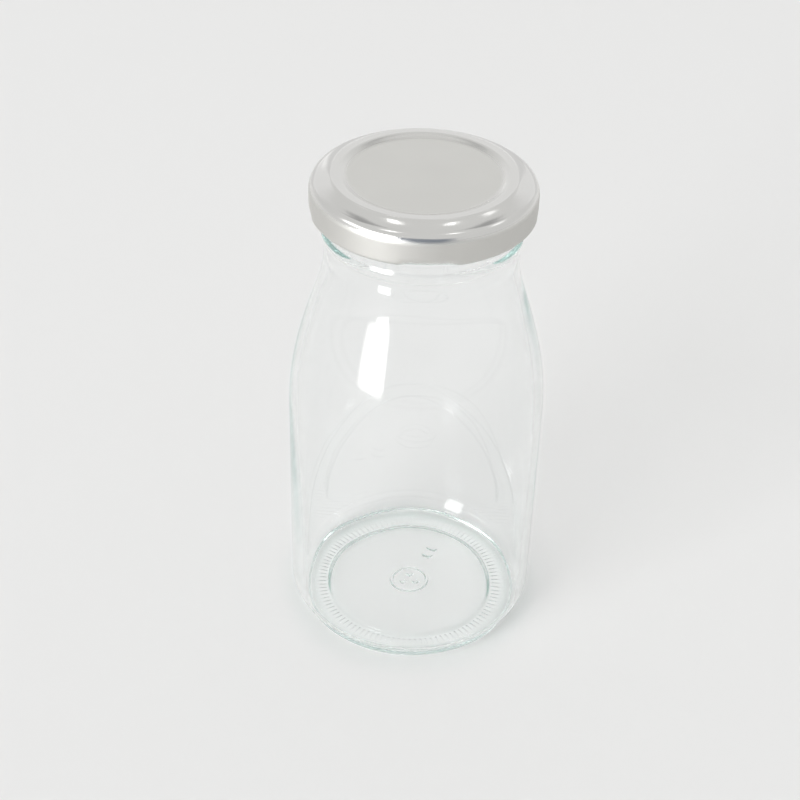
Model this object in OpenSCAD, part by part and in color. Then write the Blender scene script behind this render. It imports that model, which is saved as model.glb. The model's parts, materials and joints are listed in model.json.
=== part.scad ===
// Wide-mouth glass milk bottle with a lug-type twist-off lid.
// Z is up, the axis of the bottle is the Z axis and its foot stands on z = 0.

/* [Bottle] */
// Height of the glass, from the foot to the sealing rim
glass_h = 130.4; // [126:0.2:136]
// Outside diameter of the straight body
body_d = 67.2; // [65:0.2:70]
// Height at which the body ends and the shoulder starts
shoulder_z = 65; // [50:1:70]
// Height at which the shoulder runs into the neck
neck_z = 107.5; // [100:0.5:109]
// Outside diameter of the neck
neck_d = 48.4; // [47.6:0.1:48.8]
// Inside diameter of the mouth and the neck
mouth_d = 43.8; // [42.6:0.2:44.2]
// Thickness of the body wall
wall = 2.4; // [1.8:0.1:3.2]
// Thickness of the floor
floor_t = 2.4; // [2:0.1:4]
// Rise of the middle of the base above the foot
push_up = 1; // [0.6:0.1:1.4]

/* [Foot] */
// Inside diameter of the ring that the bottle stands on
ring_in_d = 48; // [46:0.2:50]
// Outside diameter of the ring that the bottle stands on
ring_out_d = 56.4; // [54:0.2:58]
// Outside diameter of the foot below the mould seam
foot_d = 61.4; // [60.6:0.2:62.4]
// Height of the mould seam that parts the foot from the heel
seam_z = 2.1; // [1.9:0.1:2.5]
// Height at which the rounded heel meets the body
heel_z = 8.3; // [7.5:0.1:10]
// Radius of the rounded heel, seen from the side
heel_r = 8; // [7.5:0.25:10]
// Radius of the rounded corner between the floor and the wall inside
inner_heel_r = 4.5; // [4:0.5:8]

/* [Finish] */
// Outside diameter of the glass wall inside the lid
finish_d = 49.2; // [48.8:0.1:49.6]
// Diameter over the transfer bead below the lid
bead_d = 50.3; // [49.8:0.1:50.8]
// Height of the middle of the transfer bead, below the rim
bead_drop = 12.5; // [11.8:0.1:12.8]
// Radius of the bead's rounded face
bead_r = 2.5; // [2:0.25:6]
// Number of thread segments, and of lugs in the lid
starts = 4; // [3:1:5]
// Angle that one thread segment spans
thread_span = 60; // [30:1:60]
// Radius of the thread's round cross-section
thread_r = 1; // [0.8:0.05:1.1]
// Diameter over the threads
thread_d = 52.4; // [51.8:0.1:52.6]
// Height of the middle of the threads, below the rim
thread_drop = 3.8; // [3.5:0.05:3.9]
// Slope of a thread segment, in degrees
thread_slope = 3.4; // [2:0.1:3.4]

/* [Lid] */
// Outside diameter of the lid
lid_d = 56; // [55.6:0.1:57]
// Height of the lid
lid_h = 9.85; // [9.3:0.05:9.9]
// Thickness of the tinplate
plate = 0.25; // [0.2:0.01:0.3]
// Diameter of the flat panel in the middle
panel_d = 36.6; // [30:0.2:38]
// Depth of the flat panel below the raised ring
panel_drop = 0.75; // [0.4:0.05:0.9]
// Inside diameter of the raised ring
ring_d = 42.2; // [40:0.2:43]
// Outside diameter of the raised ring
crease_d = 45.8; // [44:0.2:46.4]
// Depth of the ledge that presses on the rim, below the raised ring
ledge_drop = 1.45; // [1.3:0.05:1.6]
// Radius of the rolled shoulder between the ledge and the skirt
roll_r = 2.8; // [2.4:0.1:3]
// Radius of the curl along the bottom of the skirt
curl_r = 0.75; // [0.65:0.05:0.8]
// Angle that one lug spans
lug_span = 24; // [16:1:26]
// Diameter of the circle that the tips of the lugs touch
lug_d = 50.8; // [50.4:0.1:51.2]
// Thickness of a lug
lug_t = 1.3; // [1.1:0.05:1.35]
// Angle of the first lug, measured from the front of the bottle
lug_turn = 3.5; // [0:0.5:20]

/* [Liner] */
// Inside diameter of the sealing ring
liner_in_d = 45.2; // [44.4:0.2:45.6]
// Outside diameter of the sealing ring
liner_out_d = 52.8; // [52:0.2:53]
// Gap between the sealing ring and the tinplate
liner_gap = 0.12; // [0.1:0.01:0.15]
// Gap between the sealing ring and the glass rim
seal_gap = 0.05; // [0.03:0.01:0.1]

/* [Base mark] */
// Radius of the raised ring under the base
mark_r = 4.9; // [4:0.1:6]
// Height by which the mark stands out of the base
mark_h = 0.3; // [0.1:0.05:0.4]
// Width of the raised ring's line
mark_w = 0.7; // [0.4:0.1:1]

/* [Hidden] */
$fn = 96;

glass_colour = [0.86, 0.92, 0.90, 0.35];
tinplate_colour = [0.80, 0.79, 0.77];
liner_colour = [0.88, 0.87, 0.84];

body_r = body_d / 2;
neck_r = neck_d / 2;
mouth_r = mouth_d / 2;
finish_r = finish_d / 2;
lid_r = lid_d / 2;
inner_r = body_r - wall;
bead_z = glass_h - bead_drop;

// Roundings of the rim and of the foot's outer edge
rim_out_r = 1.2;
rim_in_r = 1.1;
foot_edge_r = 1.4;

// Width of the step from the raised middle of the base down to the ring
base_step = 2;

// Top of the lid above the foot: the panel clears the rim, and the ledge holds the liner on it
lid_top = glass_h + 2.6;
lug_top = lid_top - lid_h + 0.15 + lug_t;
front = -90;
pitch = 360 / starts;

// Number of straight steps along each kind of curve
arc_steps = 10;
curve_steps = 28;

// Points along an arc about c, from angle a0 to angle a1
function arc(c, r, a0, a1, n = arc_steps) =
    [for (i = [0:n]) let (a = a0 + (a1 - a0) * i / n) c + r * [cos(a), sin(a)]];

// Point on a cubic curve with four control points
function cubic(p, t) =
    (1 - t) ^ 3 * p[0] + 3 * t * (1 - t) ^ 2 * p[1] + 3 * t ^ 2 * (1 - t) * p[2] + t ^ 3 * p[3];

// Shoulder curve from the body, where it is upright, up to the neck
function shoulder(r_low, z_low, r_high, z_high, n = curve_steps) =
    let (dz = z_high - z_low, dr = r_low - r_high)
    [for (i = [0:n]) cubic([[r_low, z_low], [r_low, z_low + 0.4 * dz],
                            [r_high + 0.4 * dr, z_high - 0.3 * dz], [r_high, z_high]], i / n)];

// The same path moved sideways by d, to its right
function beside(p, d) =
    [for (i = [0:len(p) - 1])
        let (a = p[max(i - 1, 0)], b = p[min(i + 1, len(p) - 1)], t = (b - a) / norm(b - a))
        p[i] + d * [t[1], -t[0]]];

function reversed(p) = [for (i = [len(p) - 1:-1:0]) p[i]];

// Underside: a flat raised middle, a soft step and the ring that the bottle stands on
underside = concat(
    [[0, push_up]],
    [for (i = [0:arc_steps])
        let (u = i / arc_steps)
        [ring_in_d / 2 - base_step * (1 - u), push_up * (1 + cos(180 * u)) / 2]],
    [[ring_out_d / 2, 0]]);

// Foot and heel, meeting in the soft ridge of the mould seam
heel_angle = asin((heel_z - seam_z) / heel_r);
foot_and_heel = concat(
    arc([foot_d / 2 - foot_edge_r, foot_edge_r], foot_edge_r, -70, -30),
    arc([body_r - heel_r, heel_z], heel_r, -heel_angle, 0));

// Transfer bead, and the two ends of its arc on the neck and on the finish
bead_c = [bead_d / 2 - bead_r, bead_z];
bead_low = -acos((neck_r - bead_c[0]) / bead_r);
bead_high = acos((finish_r - bead_c[0]) / bead_r);

outside = concat(
    underside,
    foot_and_heel,
    shoulder(body_r, shoulder_z, neck_r, neck_z),
    arc(bead_c, bead_r, bead_low, bead_high),
    arc([finish_r - rim_out_r, glass_h - rim_out_r], rim_out_r, 0, 90));

// Inside: the floor rises gently towards its middle, as high as the base does
floor_r = inner_r - inner_heel_r;
inside = concat(
    arc([mouth_r + rim_in_r, glass_h - rim_in_r], rim_in_r, 90, 180),
    reversed(shoulder(inner_r, shoulder_z, mouth_r, neck_z)),
    arc([floor_r, floor_t + inner_heel_r], inner_heel_r, 0, -90),
    [for (i = [1:arc_steps])
        let (u = 1 - i / arc_steps)
        [floor_r * u, floor_t + push_up * (1 - u ^ 2)]]);

// Tinplate, as the path of its outer face from the middle of the panel to the end of the curl
roll_c = [lid_r - roll_r, -ledge_drop - roll_r];
curl_c = [lid_r - curl_r, -lid_h + curl_r];
slope_steps = 8;
panel_slope = [for (i = [0:slope_steps])
    let (u = i / slope_steps)
    [panel_d / 2 + u * (ring_d - panel_d) / 2, -panel_drop * (1 + cos(180 * u)) / 2]];
dish = [for (i = [0:slope_steps])
    let (u = i / slope_steps)
    [crease_d / 2 + u * (roll_c[0] - crease_d / 2), -ledge_drop * (1 - (1 - u) ^ 2.2)]];
roll = arc(roll_c, roll_r, 80, 0);
curl = arc(curl_c, curl_r, 0, -240, 2 * arc_steps);
tinplate = concat([[0, -panel_drop]], panel_slope, dish, roll, curl);

// Sealing ring: its upper face follows the tinplate
liner_low = glass_h + seal_gap - lid_top;
liner_top = [for (p = beside(concat(dish, roll), plate + liner_gap))
    if (p[0] > liner_in_d / 2 + 1.4 && p[0] < liner_out_d / 2) p];
liner_face = concat(
    [[liner_in_d / 2, liner_low], [liner_in_d / 2, liner_low + 0.45],
     [liner_in_d / 2 + 1, liner_low + 0.8]],
    liner_top,
    [[liner_out_d / 2, liner_low]]);

// One thread segment, centred on +X at z = 0, with rounded ends
module thread_segment() {
    ridge_r = thread_d / 2 - thread_r;
    rotate([thread_slope, 0, 0]) {
        rotate([0, 0, -thread_span / 2])
            rotate_extrude(angle = thread_span)
                translate([ridge_r, 0])
                    circle(thread_r);
        for (side = [-1, 1])
            rotate([0, 0, side * thread_span / 2])
                translate([ridge_r, 0, 0])
                    sphere(thread_r);
    }
}

// Plain raised ring with three dots, and two short mould bars beside it
module base_mark() {
    dot_r = 0.6;
    bar_r = [11.5, 14.7];
    bar_angle = 66;
    bar_len = 2.2;
    bar_w = 0.8;
    mark_base = push_up - mark_h;
    mark_depth = mark_h + 0.8;
    difference() {
        translate([0, 0, mark_base])
            cylinder(h = mark_depth, r = mark_r + mark_w / 2);
        translate([0, 0, mark_base - 1])
            cylinder(h = mark_depth + 2, r = mark_r - mark_w / 2);
    }
    for (i = [0:2])
        rotate([0, 0, 90 + 120 * i])
            translate([mark_r * 0.42, 0, mark_base])
                cylinder(h = mark_depth, r = dot_r);
    rotate([0, 0, bar_angle])
        for (r = bar_r)
            translate([r - bar_w / 2, -bar_len / 2, mark_base])
                cube([bar_w, bar_len, mark_depth]);
}

// The glass: one blown piece with its finish, threads and base mark
module bottle() {
    color(glass_colour) {
        rotate_extrude()
            polygon(concat(outside, inside));
        for (i = [0:starts - 1])
            rotate([0, 0, front + lug_turn - pitch / 2 + i * pitch])
                translate([0, 0, glass_h - thread_drop])
                    thread_segment();
        base_mark();
    }
}

// One lug: the curl pressed flat towards the glass, centred on +X
module lug() {
    tip_r = lug_t / 2;
    tip_c = [lug_d / 2 + tip_r, lug_top - tip_r];
    rotate([0, 0, -lug_span / 2])
        rotate_extrude(angle = lug_span)
            polygon(concat(
                arc(tip_c, tip_r, 90, 270),
                [[curl_c[0], lug_top - lug_t], [curl_c[0], lug_top]]));
}

// The lid: a drawn tinplate shell with a curled edge and its lugs
module lid_shell() {
    color(tinplate_colour) {
        translate([0, 0, lid_top])
            rotate_extrude()
                polygon(concat(tinplate, reversed(beside(tinplate, plate))));
        for (i = [0:starts - 1])
            rotate([0, 0, front + lug_turn + i * pitch])
                lug();
    }
}

// The ring of sealing compound under the ledge of the lid
module lid_liner() {
    color(liner_colour)
        translate([0, 0, lid_top])
            rotate_extrude()
                polygon(liner_face);
}

bottle();
lid_shell();
lid_liner();
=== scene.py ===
import json
import math

import bpy
import numpy as np
from mathutils import Matrix, Vector


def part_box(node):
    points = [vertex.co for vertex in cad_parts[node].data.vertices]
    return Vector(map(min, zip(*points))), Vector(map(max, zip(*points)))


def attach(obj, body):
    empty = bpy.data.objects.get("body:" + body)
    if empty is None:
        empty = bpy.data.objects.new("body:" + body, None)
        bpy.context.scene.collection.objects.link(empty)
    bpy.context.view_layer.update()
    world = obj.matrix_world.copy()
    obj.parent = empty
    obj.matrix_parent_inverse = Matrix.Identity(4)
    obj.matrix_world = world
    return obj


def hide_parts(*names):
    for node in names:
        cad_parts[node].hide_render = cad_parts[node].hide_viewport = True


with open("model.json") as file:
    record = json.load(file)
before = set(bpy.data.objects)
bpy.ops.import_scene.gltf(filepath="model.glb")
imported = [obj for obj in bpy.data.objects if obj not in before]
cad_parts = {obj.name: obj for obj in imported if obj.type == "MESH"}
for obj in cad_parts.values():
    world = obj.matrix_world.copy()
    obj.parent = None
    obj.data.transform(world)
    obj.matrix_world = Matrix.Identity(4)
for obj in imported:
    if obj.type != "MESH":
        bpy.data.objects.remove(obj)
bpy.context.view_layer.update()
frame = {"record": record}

MM = 0.001
TAU = 2 * math.pi

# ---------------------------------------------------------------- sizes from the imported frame
bottle_lo, bottle_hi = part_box("bottle")
lid_lo, lid_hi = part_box("lid_shell")
liner_lo, liner_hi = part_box("lid_liner")
mounts = {m["name"]: m for m in frame["record"]["mounts"]}

GLASS_H = bottle_hi.z
BODY_R = bottle_hi.x
LID_R = lid_hi.x
LID_TOP = lid_hi.z
LID_LOW = lid_lo.z
LINER_R = liner_hi.x
LINER_LOW = liner_lo.z
MOUTH_R = mounts["mouth"]["dims"]["r_mm"] * MM
PANEL_Z = mounts["lid_panel"]["pos_m"][2]

# ---------------------------------------------------------------- curves and lathes


def arc(centre, radius, start, end, steps):
    """Points (r, z) along an arc, angles in degrees."""
    return [
        (centre[0] + radius * math.cos(a), centre[1] + radius * math.sin(a))
        for a in np.radians(np.linspace(start, end, steps + 1))
    ]


def line(a, b, steps):
    """Points from a towards b, without b."""
    return [
        (a[0] + (b[0] - a[0]) * i / steps, a[1] + (b[1] - a[1]) * i / steps)
        for i in range(steps)
    ]


def cubic(p, steps):
    """Points on a cubic curve with four control points."""
    t = np.linspace(0, 1, steps + 1)[:, None]
    p = np.array(p)
    curve = (1 - t) ** 3 * p[0] + 3 * t * (1 - t) ** 2 * p[1] + 3 * t**2 * (1 - t) * p[2] + t**3 * p[3]
    return [tuple(c) for c in curve]


def shoulder(r_low, z_low, r_high, z_high, steps):
    """The shoulder's curve, upright where it leaves the body."""
    dz, dr = z_high - z_low, r_low - r_high
    return cubic(
        [(r_low, z_low), (r_low, z_low + 0.4 * dz), (r_high + 0.4 * dr, z_high - 0.3 * dz), (r_high, z_high)],
        steps,
    )


def fillet(curve):
    """The shoulder's curve led smoothly into the upright neck at its upper end."""
    kept = [c for c in curve if c[1] < NECK_Z - NECK_BLEND]
    (r0, z0), (r1, z1) = kept[-2:]
    slope = (r1 - r0) / (z1 - z0)
    neck_r, end = curve[-1][0], NECK_Z + NECK_BLEND
    reach = (end - z1) / 3
    ends = [(r1, z1), (r1 + slope * reach, z1 + reach), (neck_r, end - reach), (neck_r, end)]
    return kept[:-1] + cubic(ends, BLEND_STEPS)


def smooth(x):
    """0 to 1 with level ends."""
    x = np.clip(x, 0, 1)
    return x * x * (3 - 2 * x)


def revolve(name, r, z, closed):
    """Mesh object from radii and heights, each an array of profile point by angle.

    An open profile starts and ends on the axis, and its first and last points become single vertices.
    """
    steps, around = r.shape
    phi = np.arange(around) * TAU / around
    rings = np.stack([r * np.cos(phi), r * np.sin(phi), z], -1)
    if closed:
        verts = rings.reshape(-1, 3)
        pairs = [(i, (i + 1) % steps) for i in range(steps)]
        first = 0
    else:
        verts = rings[1:-1].reshape(-1, 3)
        pairs = [(i, i + 1) for i in range(steps - 3)]
        first = len(verts)
        verts = np.vstack([verts, [(0, 0, z[0, 0])], [(0, 0, z[-1, 0])]])
    j = np.arange(around)
    k = (j + 1) % around
    faces = []
    for a, b in pairs:
        faces += np.stack([a * around + j, a * around + k, b * around + k, b * around + j], -1).tolist()
    if not closed:
        last = (steps - 3) * around
        faces += np.stack([k, j, np.full(around, first)], -1).tolist()
        faces += np.stack([last + j, last + k, np.full(around, first + 1)], -1).tolist()
    return mesh_object(name, verts.tolist(), faces)


def mesh_object(name, verts, faces):
    """Smooth-shaded mesh object whose normals point outwards."""
    mesh = bpy.data.meshes.new(name)
    mesh.from_pydata(verts, [], faces)
    mesh.update()
    if signed_volume(mesh) < 0:
        mesh.flip_normals()
    mesh.shade_smooth()
    piece = bpy.data.objects.new(name, mesh)
    bpy.context.scene.collection.objects.link(piece)
    return piece


def signed_volume(mesh):
    """Volume inside the mesh, negative when its faces look inwards."""
    mesh.calc_loop_triangles()
    co = np.array([v.co for v in mesh.vertices])
    tri = np.array([t.vertices for t in mesh.loop_triangles])
    a, b, c = co[tri[:, 0]], co[tri[:, 1]], co[tri[:, 2]]
    return float(np.einsum("ij,ij->i", a, np.cross(b, c)).sum() / 6)


# ---------------------------------------------------------------- camera, as held by somebody at the table
# Metres behind and above the bottle's foot, then degrees, then the lens in millimetres
CAMERA_BACK = 0.34674
CAMERA_UP = 0.32035
CAMERA_DOWN = 36.402
CAMERA_LEFT = 0.702
CAMERA_ROLL = 1.77
CAMERA_LENS = 73.04


def make_camera():
    """Camera that looks down on the bottle, turned a little to the left and rolled."""
    down, left, roll = (math.radians(a) for a in (CAMERA_DOWN, CAMERA_LEFT, CAMERA_ROLL))
    forward = Vector((-math.sin(left) * math.cos(down), math.cos(left) * math.cos(down), -math.sin(down)))
    level = Vector((math.cos(left), math.sin(left), 0))
    up = level.cross(forward)
    right = level * math.cos(roll) + up * math.sin(roll)
    top = up * math.cos(roll) - level * math.sin(roll)
    turn = Matrix((right, top, -forward)).transposed().to_4x4()
    data = bpy.data.cameras.new("camera")
    data.lens = CAMERA_LENS
    data.clip_start = 0.01
    camera = bpy.data.objects.new("camera", data)
    camera.matrix_world = Matrix.Translation((0, -CAMERA_BACK, CAMERA_UP)) @ turn
    bpy.context.scene.collection.objects.link(camera)
    bpy.context.scene.camera = camera


make_camera()

# ---------------------------------------------------------------- glass bottle
AROUND_GLASS = 432
BLEND_STEPS = 10
KNURLS = 108
WALL = 2.4 * MM
PUSH_UP = 1.0 * MM
FLOOR_T = 2.4 * MM
BASE_STEP = 2.0 * MM
RING_IN = 24.0 * MM
RING_OUT = 28.2 * MM
FOOT_R = 30.7 * MM
FOOT_EDGE = 1.4 * MM
SEAM_Z = 2.1 * MM
HEEL_Z = 8.3 * MM
HEEL_R = 8 * MM
INNER_HEEL = 4.5 * MM
SHOULDER_Z = 65 * MM
NECK_Z = 107.5 * MM
NECK_BLEND = 6.2 * MM
NECK_R = 24.2 * MM
BEAD_R = 25.15 * MM
BEAD_FACE = 2.5 * MM
BEAD_Z = GLASS_H - 12.5 * MM
BEAD_CLEAR = 2 * MM
FINISH_R = 24.6 * MM
RIM_OUT = 1.2 * MM
RIM_IN = 1.1 * MM
THREADS = 4
THREAD_HALF = 30.0
THREAD_R = 1.0 * MM
THREAD_CENTRE_R = 25.2 * MM
THREAD_Z = GLASS_H - 3.8 * MM
THREAD_SLOPE = 3.4
LUG_TURN = 3.5
FRONT = -90.0
MARK_R = 4.9 * MM
MARK_W = 0.7 * MM
MARK_H = 0.3 * MM
DOT_R = 0.65 * MM
DOTS_R = 0.42 * MARK_R
BAR_R = (11.5 * MM, 14.7 * MM)
BAR_ANGLE = 66.0
BAR_HALF = 0.8 * MM
MARK_SOFT = 1.6
# Radii of the underside's points in millimetres, close together at the base mark
FLAT_RADII = [0, 0.6, *np.arange(1.1, 5.9, 0.24), 7.5, 9.5, *np.arange(10.6, 15.8, 0.35), 17, 19, 21, 21.7]
KNURL_OUT = 26.4 * MM
KNURL_FADE = 27.1 * MM
KNURL_DEPTH = 0.2 * MM
BLOWN_R = 12 * MM
WAVE = 0.10 * MM
# Each wave's count round the bottle, its twist in radians over the height, its start and its share of WAVE
WAVES = [(3, 9, 0.0, 1.0), (2, -14, 1.0, 0.7), (5, 5, 0.0, 0.5)]
SWELL = 0.45 * MM
SWELL_Z = 114.4 * MM
SWELL_HALF = 3.5 * MM


def outer_profile():
    """Glass from the middle of the underside up to the top of the rim."""
    under = [(r * MM, PUSH_UP) for r in FLAT_RADII]
    u = np.linspace(0, 1, 9)[:-1]
    under += list(zip(RING_IN - BASE_STEP * (1 - u), PUSH_UP * (1 + np.cos(math.pi * u)) / 2))
    ring = [(r, 0.0) for r in np.linspace(RING_IN, KNURL_OUT, 6)]
    for r in (KNURL_FADE, RING_OUT):
        ring.append((r, KNURL_DEPTH * smooth((r - KNURL_OUT) / (RING_OUT - KNURL_OUT)) / 2))
    edge = arc((FOOT_R - FOOT_EDGE, FOOT_EDGE), FOOT_EDGE, -68, -30, 5)
    heel_angle = math.degrees(math.asin((HEEL_Z - SEAM_Z) / HEEL_R))
    heel = arc((BODY_R - HEEL_R, HEEL_Z), HEEL_R, -heel_angle, 0, 11)
    foot = line(edge[-1], heel[0], 4)[1:]
    body = line(heel[-1], (BODY_R, SHOULDER_Z), 4)[1:]
    shoulders = fillet(shoulder(BODY_R, SHOULDER_Z, NECK_R, NECK_Z, 22))
    bead_c = BEAD_R - BEAD_FACE
    low = -math.degrees(math.acos((NECK_R - bead_c) / BEAD_FACE))
    high = math.degrees(math.acos((FINISH_R - bead_c) / BEAD_FACE))
    bead = arc((bead_c, BEAD_Z), BEAD_FACE, low, high, 12)
    finish = line((FINISH_R, bead[-1][1] + 0.3 * MM), (FINISH_R, GLASS_H - RIM_OUT), 20)
    rim = arc((FINISH_R - RIM_OUT, GLASS_H - RIM_OUT), RIM_OUT, 0, 90, 7)
    return under + ring + edge + foot + heel + body + shoulders + bead + finish + rim


def inner_profile():
    """Glass from the top of the rim down to the middle of the floor."""
    inner_r = BODY_R - WALL
    floor_r = inner_r - INNER_HEEL
    rim = arc((MOUTH_R + RIM_IN, GLASS_H - RIM_IN), RIM_IN, 90, 180, 7)
    neck = line((MOUTH_R, GLASS_H - 3 * MM), (MOUTH_R, NECK_Z + NECK_BLEND + 0.5 * MM), 12)
    shoulders = fillet(shoulder(inner_r, SHOULDER_Z, MOUTH_R, NECK_Z, 21))[::-1]
    heel = arc((floor_r, FLOOR_T + INNER_HEEL), INNER_HEEL, 0, -90, 12)
    body = line(shoulders[-1], heel[0], 5)[1:]
    floor = [(floor_r * u, FLOOR_T + PUSH_UP * (1 - u * u)) for u in np.linspace(0.94, 0, 9)]
    return rim + neck + shoulders + body + heel + floor


def angle_from(phi, centre):
    """Angle in degrees from centre, between -180 and 180."""
    return (np.degrees(phi) - centre + 180) % 360 - 180


def threads(r, z, phi):
    """How far the thread segments stand out of the finish."""
    out = np.zeros_like(r)
    for k in range(THREADS):
        away = angle_from(phi, FRONT + LUG_TURN - 45 + 90 * k)
        past = np.maximum(np.abs(away) - THREAD_HALF, 0)
        end = np.radians(past) * THREAD_CENTRE_R / THREAD_R
        middle = THREAD_Z + THREAD_CENTRE_R * np.sin(np.radians(away)) * math.sin(math.radians(THREAD_SLOPE))
        across = (z - middle) / THREAD_R
        left = np.clip(1 - across**2 - end**2, 0, 1)
        bump = THREAD_CENTRE_R + THREAD_R * np.sqrt(left) - FINISH_R
        out = np.maximum(out, np.where(left > 0, bump, 0))
    return out


def base_mark(r, phi):
    """How far the plain ring, its three dots and the two mould bars stand out of the underside."""
    height = smooth(MARK_SOFT - np.abs(r - MARK_R) / (MARK_W / 2))
    marks = [(DOTS_R, 90 + 120 * i, 0.0) for i in range(3)]
    marks += [(radius, BAR_ANGLE, BAR_HALF) for radius in BAR_R]
    for radius, angle, half in marks:
        turned = phi - math.radians(angle)
        along = np.maximum(np.abs(r * np.sin(turned)) - half, 0)
        away = np.hypot(r * np.cos(turned) - radius, along)
        height = np.maximum(height, smooth(MARK_SOFT - away / DOT_R))
    return MARK_H * height


def waves(z, phi):
    """Slight unevenness of the blown inner surface, none at the rim."""
    height = z / GLASS_H
    swell = sum(share * np.sin(around * phi + up * height + start) for around, up, start, share in WAVES)
    return WAVE * swell * smooth(8 * (1 - height) - 1)


def swelling(z):
    """Thicker glass inside the neck, where the blown part starts."""
    return SWELL * (0.5 + 0.5 * np.cos(math.pi * np.clip((z - SWELL_Z) / SWELL_HALF, -1, 1)))


def make_bottle():
    """The glass, with its threads, base mark, knurls and blown inner surface."""
    outside, inside = np.array(outer_profile()), np.array(inner_profile())
    points = np.vstack([outside, inside[1:]])
    phi = (np.arange(AROUND_GLASS) * TAU / AROUND_GLASS)[None, :]
    r = np.repeat(points[:, :1], AROUND_GLASS, 1)
    z = np.repeat(points[:, 1:], AROUND_GLASS, 1)
    row = np.arange(len(points))[:, None]
    is_outer = row < len(outside)
    on_finish = is_outer & (z > BEAD_Z + BEAD_CLEAR) & (z < GLASS_H - RIM_OUT / 2)
    under = is_outer & (r < RING_IN - BASE_STEP) & (z < FLOOR_T)
    blown = ~is_outer & (r > BLOWN_R)
    on_ring = is_outer & (r >= RING_IN) & (r <= KNURL_OUT) & (z < KNURL_DEPTH / 2)
    r = r + np.where(on_finish, threads(r, z, phi), 0) + np.where(blown, waves(z, phi) - swelling(z), 0)
    z = z - np.where(under, base_mark(r, phi), 0)
    z = z + np.where(on_ring, KNURL_DEPTH * (0.5 - 0.5 * np.cos(KNURLS * phi)), 0)
    return revolve("glass_bottle", r, z, closed=False)


# ---------------------------------------------------------------- lid shell
AROUND_LID = 288
PLATE = 0.25 * MM
PANEL_R = 18.3 * MM
PANEL_RINGS = [0, 3 * MM, 8 * MM, 13 * MM, 17 * MM, 18 * MM]
RING_START = 21.1 * MM
CREASE_R = 22.9 * MM
CREASE_BEND = 0.3 * MM
DISH_SLOPE = 46.0
LEDGE_SLOPE = 14.0
LEDGE = 1.45 * MM
ROLL = 2.8 * MM
CURL = 0.75 * MM
LUG_HALF = 12.0
LUG_FADE = 7.0
LUG_TIP_R = 25.4 * MM
LUG_T = 1.3 * MM
LUG_GAP = 0.15 * MM
FOLD_Z = 2.3 * MM
# Handles of the curve from the crease down into the ledge
CREASE_HANDLE = 0.7 * MM
LEDGE_HANDLE = 0.9 * MM


def downhill(slope):
    """Unit step outwards and down a slope in degrees."""
    return np.array([math.cos(math.radians(slope)), -math.sin(math.radians(slope))])


def lid_path(lug):
    """Outer face of the tinplate from the panel's middle to the end of the curl.

    With lug, the curl is pressed flat.
    """
    drop = LID_TOP - PANEL_Z
    panel = [(r, -drop) for r in PANEL_RINGS]
    u = np.linspace(0, 1, 11)
    slope = list(zip(PANEL_R + u * (RING_START - PANEL_R), -drop * (1 + np.cos(math.pi * u)) / 2))
    plateau = [(RING_START + 0.3 * MM, 0), (CREASE_R - CREASE_BEND - 0.2 * MM, 0)]
    bend = arc((CREASE_R - CREASE_BEND, -CREASE_BEND), CREASE_BEND, 90, 90 - DISH_SLOPE, 6)
    roll_c = (LID_R - ROLL, -LEDGE - ROLL)
    roll = arc(roll_c, ROLL, 90 - LEDGE_SLOPE, 0, 18)
    leave = bend[-1] + CREASE_HANDLE * downhill(DISH_SLOPE)
    arrive = roll[0] - LEDGE_HANDLE * downhill(LEDGE_SLOPE)
    dish = cubic([bend[-1], leave, arrive, roll[0]], 13)[1:-1]
    low = LID_LOW - LID_TOP
    skirt = line((LID_R, -LEDGE - ROLL - 0.4 * MM), (LID_R, low + 2.4 * MM), 5)
    if lug:
        tip = (LUG_TIP_R + LUG_T / 2, low + LUG_GAP + LUG_T / 2)
        fold = cubic([(LID_R, low + FOLD_Z), (LID_R, low + 1.35 * MM),
                      (LID_R - 0.6 * MM, low + 0.25 * MM), (LID_R - 1.5 * MM, low + LUG_GAP)], 9)
        fold += arc(tip, LUG_T / 2, -90, -270, 8)
        fold += line((tip[0] + 0.1 * MM, tip[1] + LUG_T / 2), (LID_R - 0.9 * MM, tip[1] + LUG_T / 2), 5)
    else:
        fold = line((LID_R, low + FOLD_Z), (LID_R, low + CURL), 4)
        fold += arc((LID_R - CURL, low + CURL), CURL, 0, -240, 19)
    return np.array(panel + slope + plateau + bend + dish + roll + skirt + fold)


def beside(points, distance):
    """The path moved sideways, to its right."""
    ahead = np.vstack([points[1:], points[-1:]])
    behind = np.vstack([points[:1], points[:-1]])
    along = ahead - behind
    along /= np.linalg.norm(along, axis=1)[:, None]
    return points + distance * np.stack([along[:, 1], -along[:, 0]], -1)


def make_lid():
    """The plate, with its curl pressed flat into a lug at four places."""
    phi = (np.arange(AROUND_LID) * TAU / AROUND_LID)[None, :]
    away = np.min([np.abs(angle_from(phi, FRONT + LUG_TURN + 90 * k)) for k in range(THREADS)], axis=0)
    share = smooth((LUG_HALF + LUG_FADE / 2 + 0.5 - away) / LUG_FADE)
    loops = []
    for lug in (False, True):
        path = lid_path(lug)
        loops.append(np.vstack([path, beside(path, PLATE)[::-1]]))
    plain, pressed = loops
    r = plain[:, :1] * (1 - share) + pressed[:, :1] * share
    z = plain[:, 1:] * (1 - share) + pressed[:, 1:] * share + LID_TOP
    return revolve("lid_plate", r, z, closed=False)


# ---------------------------------------------------------------- liner
LINER_IN = 22.6 * MM
LINER_T = 0.75 * MM
LINER_EDGE = 0.6 * MM
LINER_CORNER = 0.12 * MM
LINER_LIP = 0.15 * MM


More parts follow.
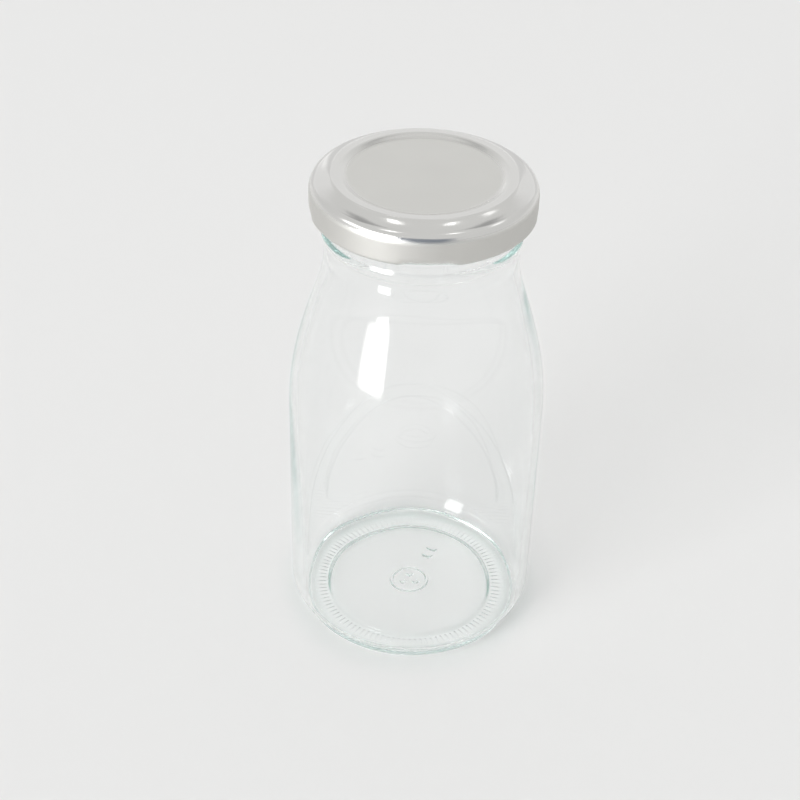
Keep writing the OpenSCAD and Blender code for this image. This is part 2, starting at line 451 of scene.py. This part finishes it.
def make_liner():
    """Flowed-in ring, thickest over the rim and feathered towards the middle."""
    low = LINER_LOW
    top = low + LINER_T
    points = [(LINER_IN, low + LINER_LIP)]
    points += cubic([(LINER_IN, low + 0.2 * MM), (LINER_IN + 0.2 * MM, low + 0.6 * MM),
                     (LINER_IN + 0.9 * MM, top), (LINER_IN + 1.6 * MM, top)], 6)
    points += arc((LINER_R - LINER_EDGE, top - LINER_EDGE), LINER_EDGE, 90, 0, 5)
    points += arc((LINER_R - LINER_CORNER, low + LINER_CORNER), LINER_CORNER, 0, -90, 3)
    points += arc((LINER_IN + LINER_LIP, low + LINER_LIP), LINER_LIP, -90, -170, 3)
    points = np.array(points)
    r = np.repeat(points[:, :1], AROUND_LID, 1)
    z = np.repeat(points[:, 1:], AROUND_LID, 1)
    return revolve("sealing_ring", r, z, closed=True)


# ---------------------------------------------------------------- materials
# Lid, by share of its radius: how rough its lacquer is, and its colour, with the skirt's colour darkened as
# painted shade
LID_GLOSS = [(0.0, 0.38), (PANEL_R / LID_R, 0.36), (0.70, 0.22), (0.80, 0.20),
             (CREASE_R / LID_R, 0.13), (0.93, 0.11), (0.985, 0.17), (0.9995, 0.47)]
SATIN = (0.79, 0.785, 0.755)
# The last stop is painted shade: the same tinplate, given a darker colour on the skirt's upright face
LID_COLOURS_AND_SKIRT_SHADE = [(0.0, SATIN), (PANEL_R / LID_R, SATIN), (0.70, (0.84, 0.835, 0.815)),
               (0.985, (0.84, 0.835, 0.82)), (0.9995, (0.61, 0.603, 0.58))]


def new_material(name):
    """Material with its node tree's nodes and links, and its shader."""
    material = bpy.data.materials.new(name)
    material.use_nodes = True
    nodes = material.node_tree.nodes
    return material, nodes, material.node_tree.links, nodes["Principled BSDF"]


def set_stops(node, stops):
    """Give a colour ramp its positions and colours."""
    ramp = node.color_ramp.elements
    while len(ramp) < len(stops):
        ramp.new(0.5)
    for element, (at, colour) in zip(ramp, stops):
        element.position = at
        element.color = (*colour, 1)


def glass_material():
    """Clear glass that takes a little green where the light's path in it is long."""
    material, nodes, links, shader = new_material("clear_glass")
    shader.inputs["Base Color"].default_value = (1, 1, 1, 1)
    shader.inputs["Roughness"].default_value = 0.0
    shader.inputs["IOR"].default_value = 1.52
    shader.inputs["Transmission Weight"].default_value = 1.0
    absorb = nodes.new("ShaderNodeVolumeAbsorption")
    absorb.inputs["Color"].default_value = (0.36, 0.70, 0.655, 1)
    absorb.inputs["Density"].default_value = 5.5
    links.new(absorb.outputs[0], nodes["Material Output"].inputs["Volume"])
    return material


def tinplate_material():
    """Lacquered tinplate: satin panel and skirt, glossier where the plate was drawn, with painted shade
    darkening the skirt.
    """
    material, nodes, links, shader = new_material("lacquered_tinplate")
    shader.inputs["Metallic"].default_value = 1.0
    place = nodes.new("ShaderNodeTexCoord")
    flat = nodes.new("ShaderNodeVectorMath")
    flat.operation = "MULTIPLY"
    flat.inputs[1].default_value = (1, 1, 0)
    radius = nodes.new("ShaderNodeVectorMath")
    radius.operation = "LENGTH"
    share = nodes.new("ShaderNodeMath")
    share.operation = "DIVIDE"
    share.inputs[1].default_value = LID_R
    gloss = nodes.new("ShaderNodeValToRGB")
    set_stops(gloss, [(at, (value, value, value)) for at, value in LID_GLOSS])
    links.new(place.outputs["Object"], flat.inputs[0])
    links.new(flat.outputs[0], radius.inputs[0])
    links.new(radius.outputs["Value"], share.inputs[0])
    links.new(share.outputs[0], gloss.inputs[0])
    links.new(gloss.outputs[0], shader.inputs["Roughness"])

    grain = nodes.new("ShaderNodeTexNoise")
    grain.inputs["Scale"].default_value = 900
    grain.inputs["Detail"].default_value = 3
    stretch = nodes.new("ShaderNodeVectorMath")
    stretch.operation = "MULTIPLY"
    stretch.inputs[1].default_value = (1, 0.08, 1)
    bump = nodes.new("ShaderNodeBump")
    bump.inputs["Strength"].default_value = 0.06
    bump.inputs["Distance"].default_value = 0.0002
    links.new(place.outputs["Object"], stretch.inputs[0])
    links.new(stretch.outputs[0], grain.inputs["Vector"])
    links.new(grain.outputs[0], bump.inputs["Height"])
    links.new(bump.outputs[0], shader.inputs["Normal"])

    # Colour by radius, including the painted shade on the skirt
    lacquer_with_skirt_shade = nodes.new("ShaderNodeValToRGB")
    set_stops(lacquer_with_skirt_shade, LID_COLOURS_AND_SKIRT_SHADE)
    links.new(share.outputs[0], lacquer_with_skirt_shade.inputs[0])
    cloud = nodes.new("ShaderNodeTexNoise")
    cloud.inputs["Scale"].default_value = 60
    haze = nodes.new("ShaderNodeMapRange")
    haze.inputs["To Min"].default_value = 0.97
    haze.inputs["To Max"].default_value = 1.03
    tint = nodes.new("ShaderNodeVectorMath")
    tint.operation = "SCALE"
    links.new(place.outputs["Object"], cloud.inputs["Vector"])
    links.new(cloud.outputs[0], haze.inputs["Value"])
    links.new(haze.outputs["Result"], tint.inputs["Scale"])
    links.new(lacquer_with_skirt_shade.outputs[0], tint.inputs[0])
    links.new(tint.outputs[0], shader.inputs["Base Color"])
    return material


def liner_material():
    """Soft off-white sealing compound."""
    material, _, _, shader = new_material("sealing_compound")
    shader.inputs["Base Color"].default_value = (0.80, 0.79, 0.76, 1)
    shader.inputs["Roughness"].default_value = 0.45
    return material


# ---------------------------------------------------------------- pieces
bottle = make_bottle()
bottle.data.materials.append(glass_material())
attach(bottle, "bottle")
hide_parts("bottle")

lid = make_lid()
lid.data.materials.append(tinplate_material())
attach(lid, "lid")
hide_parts("lid_shell")

liner = make_liner()
liner.data.materials.append(liner_material())
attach(liner, "liner")
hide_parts("lid_liner")

# ---------------------------------------------------------------- stage and light
FLOOR_R = 1.6
FLOOR_FADE_START = 0.50
FLOOR_FADE_END = 0.62
# Grey of the floor, by share of twice the foot's radius: painted light, paler under the whole bottle and
# palest at the foot's ring, where a clear foot gathers light on the table, so the floor there stands in for
# light through the glass and lifts the contact shadow
FLOOR_PAINTED_LIGHT = [(0.0, 0.87), (0.36, 0.87), (0.40, 0.92), (0.425, 0.97), (0.455, 0.95), (0.49, 0.80)]
# Grey of the surroundings, by height: 0 is the horizon and 1 is straight up
SKY_TONES = [(0.0, 0.80), (0.12, 0.74), (0.35, 0.66), (1.0, 0.68)]
COOL = (0.9, 1.0, 1.15)
# Cards of light: name, azimuth and elevation in degrees, distance, width, height and soft edge in metres,
# light, the rays that see it and, where it isn't white, its tint
CARDS = [
    ("sky", 0, 90, 3.0, 9.0, 9.0, 2.0, 0.94, ("diffuse", "glass")),
    ("window_glossy", -42, 17, 8.0, 4.5, 8.6, 1.0, 9.9, ("glossy",)),
    ("window_diffuse", -42, 17, 8.0, 4.1, 8.6, 0.35, 5.3, ("diffuse",)),
    ("window_glass", -42, 17, 8.0, 2.8, 8.6, 0.6, 10.5, ("glass",)),
    ("window_side", -76, 38, 8.0, 4.6, 3.2, 1.4, 2.2, ("glossy",)),
    ("lamp_left", -118, 75, 2.5, 0.6, 0.36, 0.12, 1.9, ("glossy",)),
    ("lamp_right", 120, 75, 2.5, 0.45, 0.3, 0.1, 1.8, ("glossy",)),
    ("lamp_far", 117, 53, 2.5, 0.75, 0.45, 0.15, 1.2, ("glossy",)),
    ("room_back", 180, 24, 2.5, 5.0, 2.2, 0.8, 0.80, ("glossy",)),
    ("room_back_low", 180, 5, 2.45, 4.0, 0.9, 0.25, 0.68, ("glossy",)),
    ("back_light", -164, 13, 2.4, 0.8, 0.6, 0.3, 1.0, ("glossy",)),
    ("shade_left", -155, 55, 2.4, 0.8, 0.6, 0.25, 0.36, ("glossy",)),
    ("shade_right", 156, 54, 2.4, 0.8, 0.6, 0.25, 0.36, ("glossy",)),
    ("room_front", 1, 27, 2.5, 2.8, 2.6, 0.5, 0.25, ("glossy",), COOL),
]


def make_floor():
    """Round floor that fades into the surroundings at its edge, with painted light making it paler under the
    bottle.
    """
    around = 96
    turns = [TAU * i / around for i in range(around)]
    verts = [(FLOOR_R * math.cos(turn), FLOOR_R * math.sin(turn), 0) for turn in turns]
    mesh = bpy.data.meshes.new("floor")
    mesh.from_pydata(verts, [], [tuple(range(around))])
    floor = bpy.data.objects.new("floor", mesh)
    bpy.context.scene.collection.objects.link(floor)
    material, nodes, links, shader = new_material("pale_floor")
    shader.inputs["Roughness"].default_value = 0.7
    place = nodes.new("ShaderNodeTexCoord")
    length = nodes.new("ShaderNodeVectorMath")
    length.operation = "LENGTH"
    fade = nodes.new("ShaderNodeMapRange")
    fade.inputs["From Min"].default_value = FLOOR_FADE_START
    fade.inputs["From Max"].default_value = FLOOR_FADE_END
    clear = nodes.new("ShaderNodeBsdfTransparent")
    mix = nodes.new("ShaderNodeMixShader")
    links.new(place.outputs["Object"], length.inputs[0])
    links.new(length.outputs["Value"], fade.inputs["Value"])
    share = nodes.new("ShaderNodeMath")
    share.operation = "DIVIDE"
    share.inputs[1].default_value = 2 * FOOT_R
    # Painted light: the floor's grey is raised under the bottle and most at its foot's ring
    painted_light_tone = nodes.new("ShaderNodeValToRGB")
    set_stops(painted_light_tone, [(at, (value, value, value * 0.994)) for at, value in FLOOR_PAINTED_LIGHT])
    links.new(length.outputs["Value"], share.inputs[0])
    links.new(share.outputs[0], painted_light_tone.inputs[0])
    links.new(painted_light_tone.outputs[0], shader.inputs["Base Color"])
    links.new(fade.outputs["Result"], mix.inputs[0])
    links.new(shader.outputs[0], mix.inputs[1])
    links.new(clear.outputs[0], mix.inputs[2])
    links.new(mix.outputs[0], nodes["Material Output"].inputs["Surface"])
    mesh.materials.append(material)


def make_world():
    """Plain pale surroundings, as bright as the floor at its edge and a little darker above."""
    world = bpy.data.worlds.new("studio")
    bpy.context.scene.world = world
    world.use_nodes = True
    nodes, links = world.node_tree.nodes, world.node_tree.links
    place = nodes.new("ShaderNodeTexCoord")
    split = nodes.new("ShaderNodeSeparateXYZ")
    shade = nodes.new("ShaderNodeValToRGB")
    set_stops(shade, [(at, (value, value, value * 0.99)) for at, value in SKY_TONES])
    links.new(place.outputs["Generated"], split.inputs[0])
    links.new(split.outputs["Z"], shade.inputs[0])
    links.new(shade.outputs[0], nodes["Background"].inputs["Color"])


def direction(azimuth, elevation):
    """Unit vector from the bottle; azimuth 0 is towards the front, positive to the right."""
    a, e = math.radians(azimuth), math.radians(elevation)
    return Vector((math.sin(a) * math.cos(e), -math.cos(a) * math.cos(e), math.sin(e)))


def soft_card(name, azimuth, elevation, distance, width, height, soft, light, seen, tint=(1, 1, 1)):
    """Glowing card with soft edges that faces the bottle.

    The camera doesn't see it; seen names the rays that do.
    """
    w, h = width / 2, height / 2
    mesh = bpy.data.meshes.new(name)
    mesh.from_pydata([(-w, -h, 0), (w, -h, 0), (w, h, 0), (-w, h, 0)], [], [(0, 1, 2, 3)])
    card = bpy.data.objects.new(name, mesh)
    way = direction(azimuth, elevation)
    card.location = way * distance + Vector((0, 0, GLASS_H / 2))
    card.rotation_mode = "QUATERNION"
    card.rotation_quaternion = way.to_track_quat("Z", "Y")
    bpy.context.scene.collection.objects.link(card)
    material = bpy.data.materials.new(name)
    material.use_nodes = True
    nodes, links = material.node_tree.nodes, material.node_tree.links
    nodes.clear()
    place = nodes.new("ShaderNodeTexCoord")
    split = nodes.new("ShaderNodeSeparateXYZ")
    links.new(place.outputs["Object"], split.inputs[0])
    both = nodes.new("ShaderNodeMath")
    both.operation = "MULTIPLY"
    for i, (side, half) in enumerate((("X", w), ("Y", h))):
        size = nodes.new("ShaderNodeMath")
        size.operation = "ABSOLUTE"
        edge = nodes.new("ShaderNodeMapRange")
        edge.interpolation_type = "SMOOTHSTEP"
        edge.inputs["From Min"].default_value = half
        edge.inputs["From Max"].default_value = half - soft
        links.new(split.outputs[side], size.inputs[0])
        links.new(size.outputs[0], edge.inputs["Value"])
        links.new(edge.outputs[0], both.inputs[i])
    glow = nodes.new("ShaderNodeEmission")
    glow.inputs["Color"].default_value = (*tint, 1)
    glow.inputs["Strength"].default_value = light
    clear = nodes.new("ShaderNodeBsdfTransparent")
    mix = nodes.new("ShaderNodeMixShader")
    out = nodes.new("ShaderNodeOutputMaterial")
    links.new(both.outputs[0], mix.inputs[0])
    links.new(clear.outputs[0], mix.inputs[1])
    links.new(glow.outputs[0], mix.inputs[2])
    links.new(mix.outputs[0], out.inputs["Surface"])
    mesh.materials.append(material)
    card.visible_camera = False
    card.visible_diffuse = "diffuse" in seen
    card.visible_glossy = "glossy" in seen
    card.visible_transmission = "glass" in seen
    card.visible_shadow = False


make_floor()
make_world()
for card in CARDS:
    soft_card(*card)

scene = bpy.context.scene
scene.view_settings.view_transform = "Standard"
scene.view_settings.look = "None"

# Light crosses many glass faces on its way to the floor under the bottle and back
scene.cycles.blur_glossy = 0
scene.cycles.diffuse_bounces = 12
scene.cycles.glossy_bounces = 96
scene.cycles.max_bounces = 96
scene.cycles.transmission_bounces = 96
scene.cycles.transparent_max_bounces = 16
